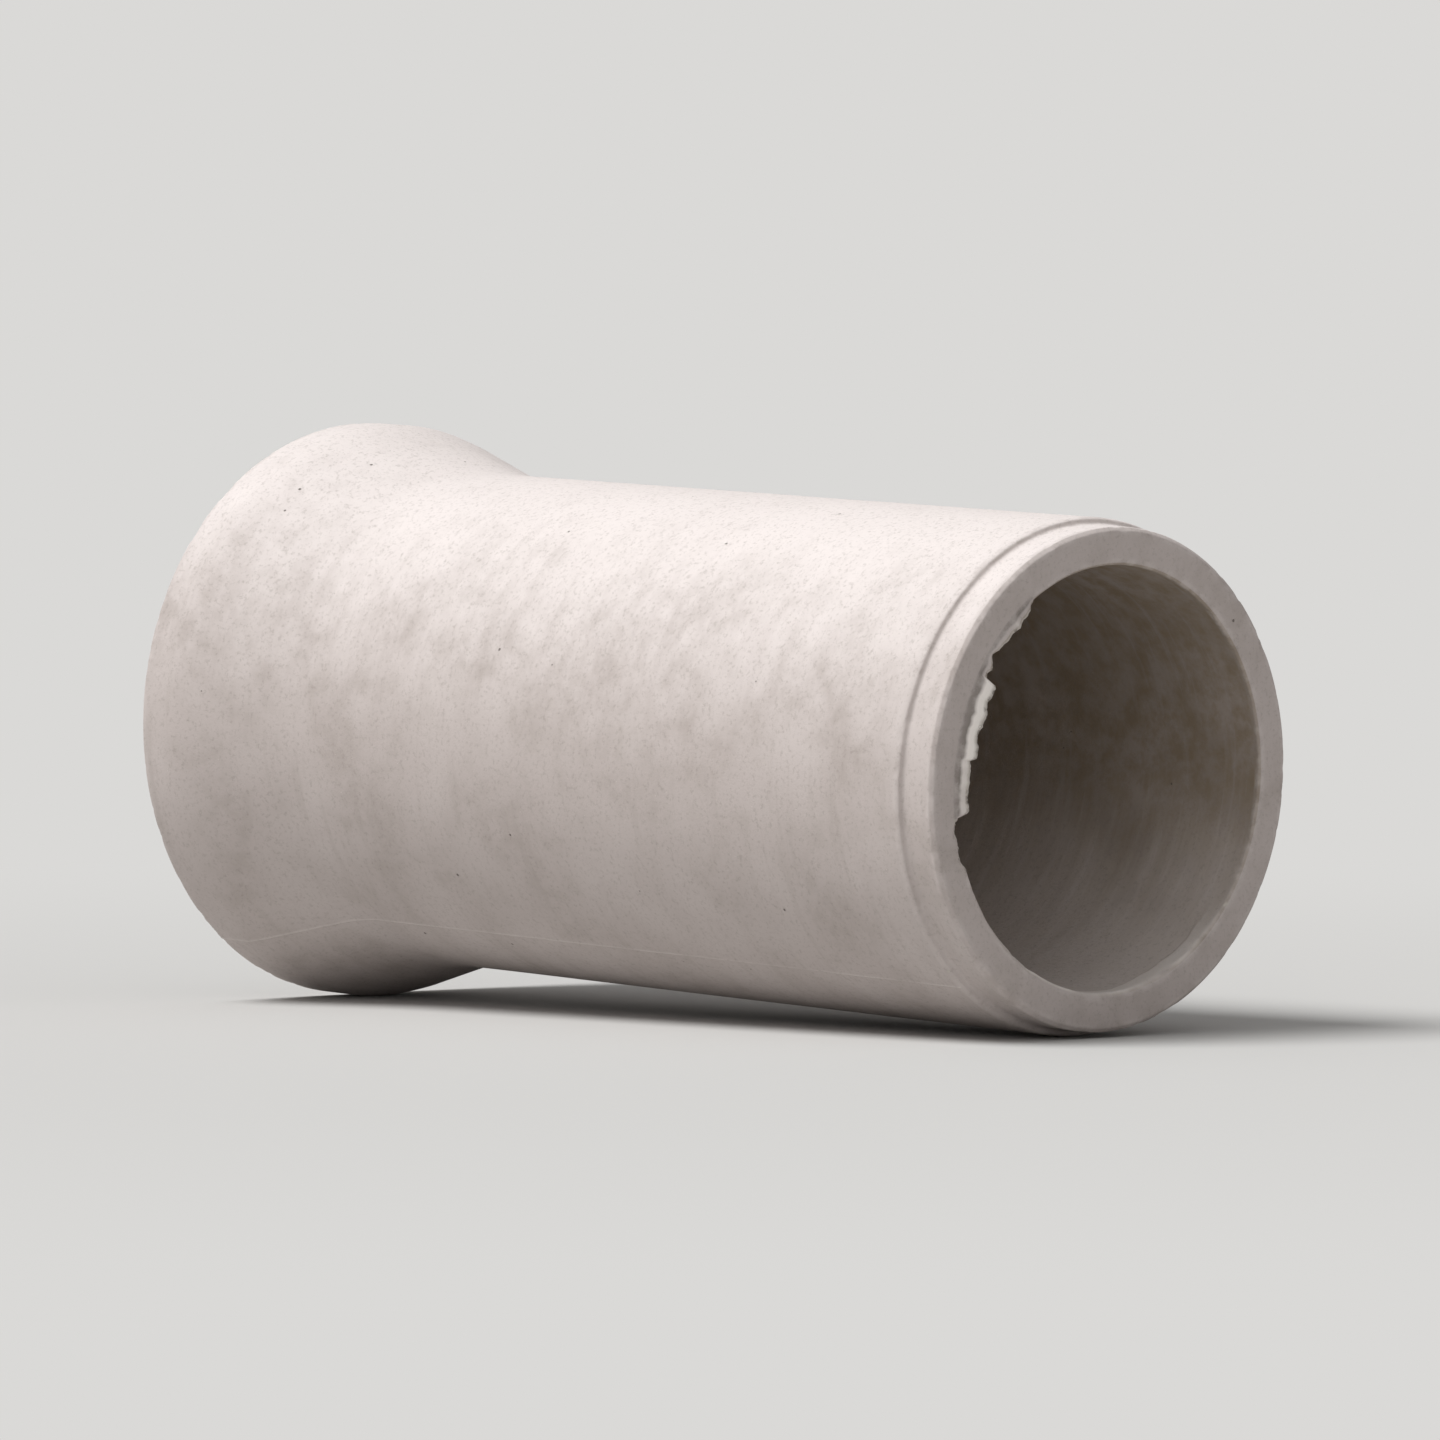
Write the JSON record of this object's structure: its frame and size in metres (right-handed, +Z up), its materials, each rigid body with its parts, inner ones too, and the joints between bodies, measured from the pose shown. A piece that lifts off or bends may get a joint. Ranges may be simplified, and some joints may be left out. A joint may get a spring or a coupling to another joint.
{
  "type": "concrete culvert pipe",
  "caption": "Reinforced concrete drainage pipe lying on its side: round barrel, stepped spigot at one end and a flared bell with a rubber-ring socket at the other.",
  "frame": {"origin": "on the floor that the pipe lies on, under the middle of its bounding box", "axes": "+Y from the spigot end to the bell end, in the vertical plane of the pipe's axis, +Z up; the axis climbs 2.48 degrees towards the bell, because the pipe rests on its spigot shoulder and on the bell"},
  "size_m": [1.1398, 2.1522, 1.1424],
  "materials": {
    "concrete": "cast grey concrete, matt, with form lines and small air holes"
  },
  "bodies": {
    "root": {"pipe": "concrete"}
  },
  "joints": []
}
